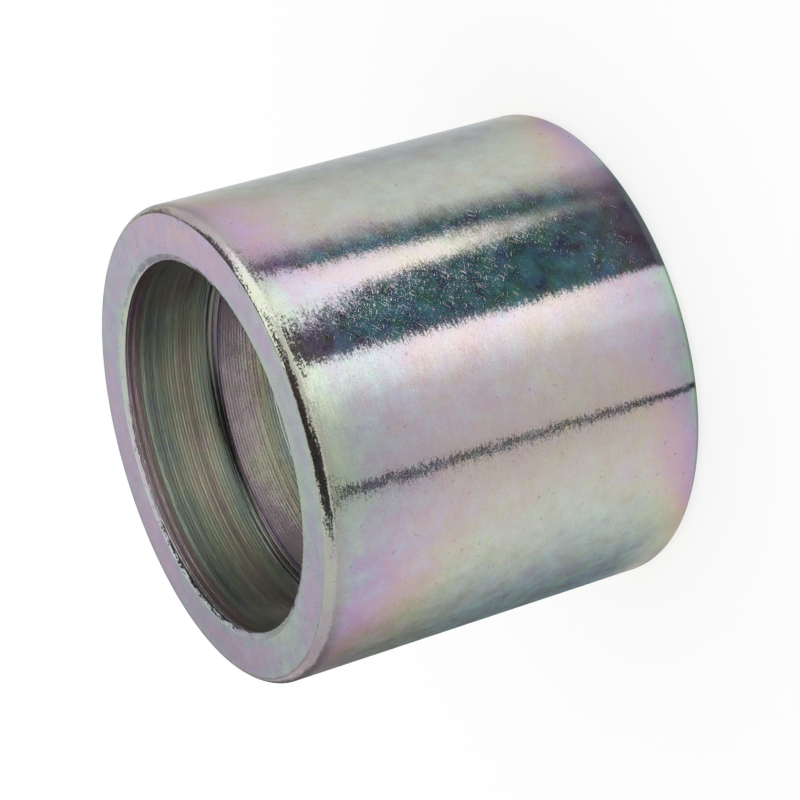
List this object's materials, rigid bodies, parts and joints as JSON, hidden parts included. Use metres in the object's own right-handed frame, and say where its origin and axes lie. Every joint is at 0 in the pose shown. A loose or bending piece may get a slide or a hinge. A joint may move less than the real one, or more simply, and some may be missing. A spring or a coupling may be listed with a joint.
{
  "type": "crimp hose ferrule",
  "caption": "Plain turned steel sleeve that is crimped over a hydraulic hose end, with a wide entry bore, internal gripping ribs and an inward locking collar.",
  "frame": {"origin": "centre of the collar end's face, where the sleeve stands", "axes": "+Z along the bore, from the collar end up to the hose entry end; X and Y are free, because the sleeve is turned"},
  "size_m": [0.03, 0.03, 0.026],
  "materials": {
    "zinc_plated_steel": "bright zinc plate with a clear iridescent passivate over fine turning marks, lightly scuffed"
  },
  "bodies": {
    "root": {"ferrule": "zinc_plated_steel"}
  },
  "joints": []
}
